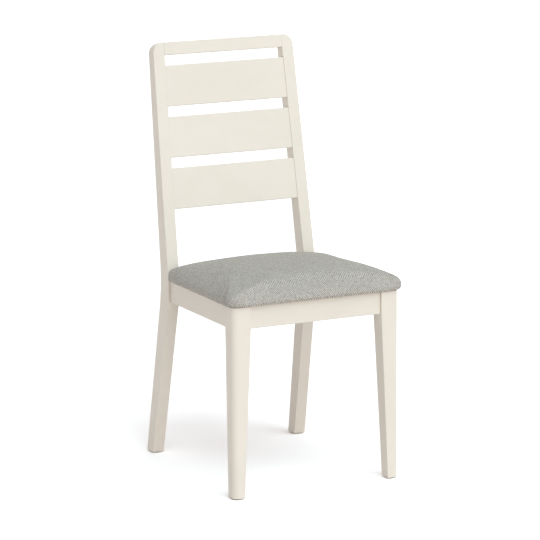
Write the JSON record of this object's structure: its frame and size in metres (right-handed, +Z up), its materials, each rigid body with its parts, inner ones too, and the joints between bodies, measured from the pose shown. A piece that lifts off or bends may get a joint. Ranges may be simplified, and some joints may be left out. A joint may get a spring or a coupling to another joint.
{
  "type": "dining chair",
  "caption": "Armless dining chair: painted timber frame with a slatted raked back, tapered front legs, bent rear posts and a crowned fabric seat pad.",
  "frame": {"origin": "on the floor, under the middle of the chair's bounding box", "axes": "+Z up; +Y from the seat's front edge towards the back; +X across the chair, to the right as seen by someone who stands in front of it and looks at it"},
  "size_m": [0.4422, 0.5138, 0.9799],
  "materials": {
    "painted_wood": "warm off-white satin paint on solid timber",
    "block_wood": "bare sawn timber, unfinished",
    "dowel_wood": "bare fluted beech dowel stock, unfinished",
    "plywood": "bare plywood, unfinished",
    "seat_fabric": "chunky plain weave in mixed mid and pale grey yarns",
    "foam": "matt open-cell upholstery foam",
    "wadding": "soft white polyester wadding",
    "dust_cloth": "thin black non-woven cloth",
    "screw_steel": "zinc plated",
    "staple_steel": "bright zinc plated wire",
    "nail_steel": "plain bright steel",
    "glide_plastic": "moulded nylon"
  },
  "bodies": {
    "root": {"back_slat_lower": "painted_wood", "back_slat_middle": "painted_wood", "back_slat_upper": "painted_wood", "corner_block_front_left": "block_wood", "corner_block_front_right": "block_wood", "corner_block_rear_left": "block_wood", "corner_block_rear_right": "block_wood", "corner_block_screws": "screw_steel", "cover_staples": "staple_steel", "dust_cover_staples": "staple_steel", "foot_glide_front_left": "glide_plastic", "foot_glide_front_right": "glide_plastic", "foot_glide_nails": "nail_steel", "foot_glide_rear_left": "glide_plastic", "foot_glide_rear_right": "glide_plastic", "front_leg_left": "painted_wood", "front_leg_right": "painted_wood", "front_rail_dowels": "dowel_wood", "front_seat_rail": "painted_wood", "rear_post_left": "painted_wood", "rear_post_right": "painted_wood", "rear_rail_dowels": "dowel_wood", "rear_seat_rail": "painted_wood", "seat_board": "plywood", "seat_cover": "seat_fabric", "seat_dust_cover": "dust_cloth", "seat_fixing_screws": "screw_steel", "seat_foam": "foam", "seat_wadding": "wadding", "side_rail_dowels": "dowel_wood", "side_seat_rail_left": "painted_wood", "side_seat_rail_right": "painted_wood", "top_rail": "painted_wood", "top_rail_dowels": "dowel_wood"}
  },
  "joints": []
}
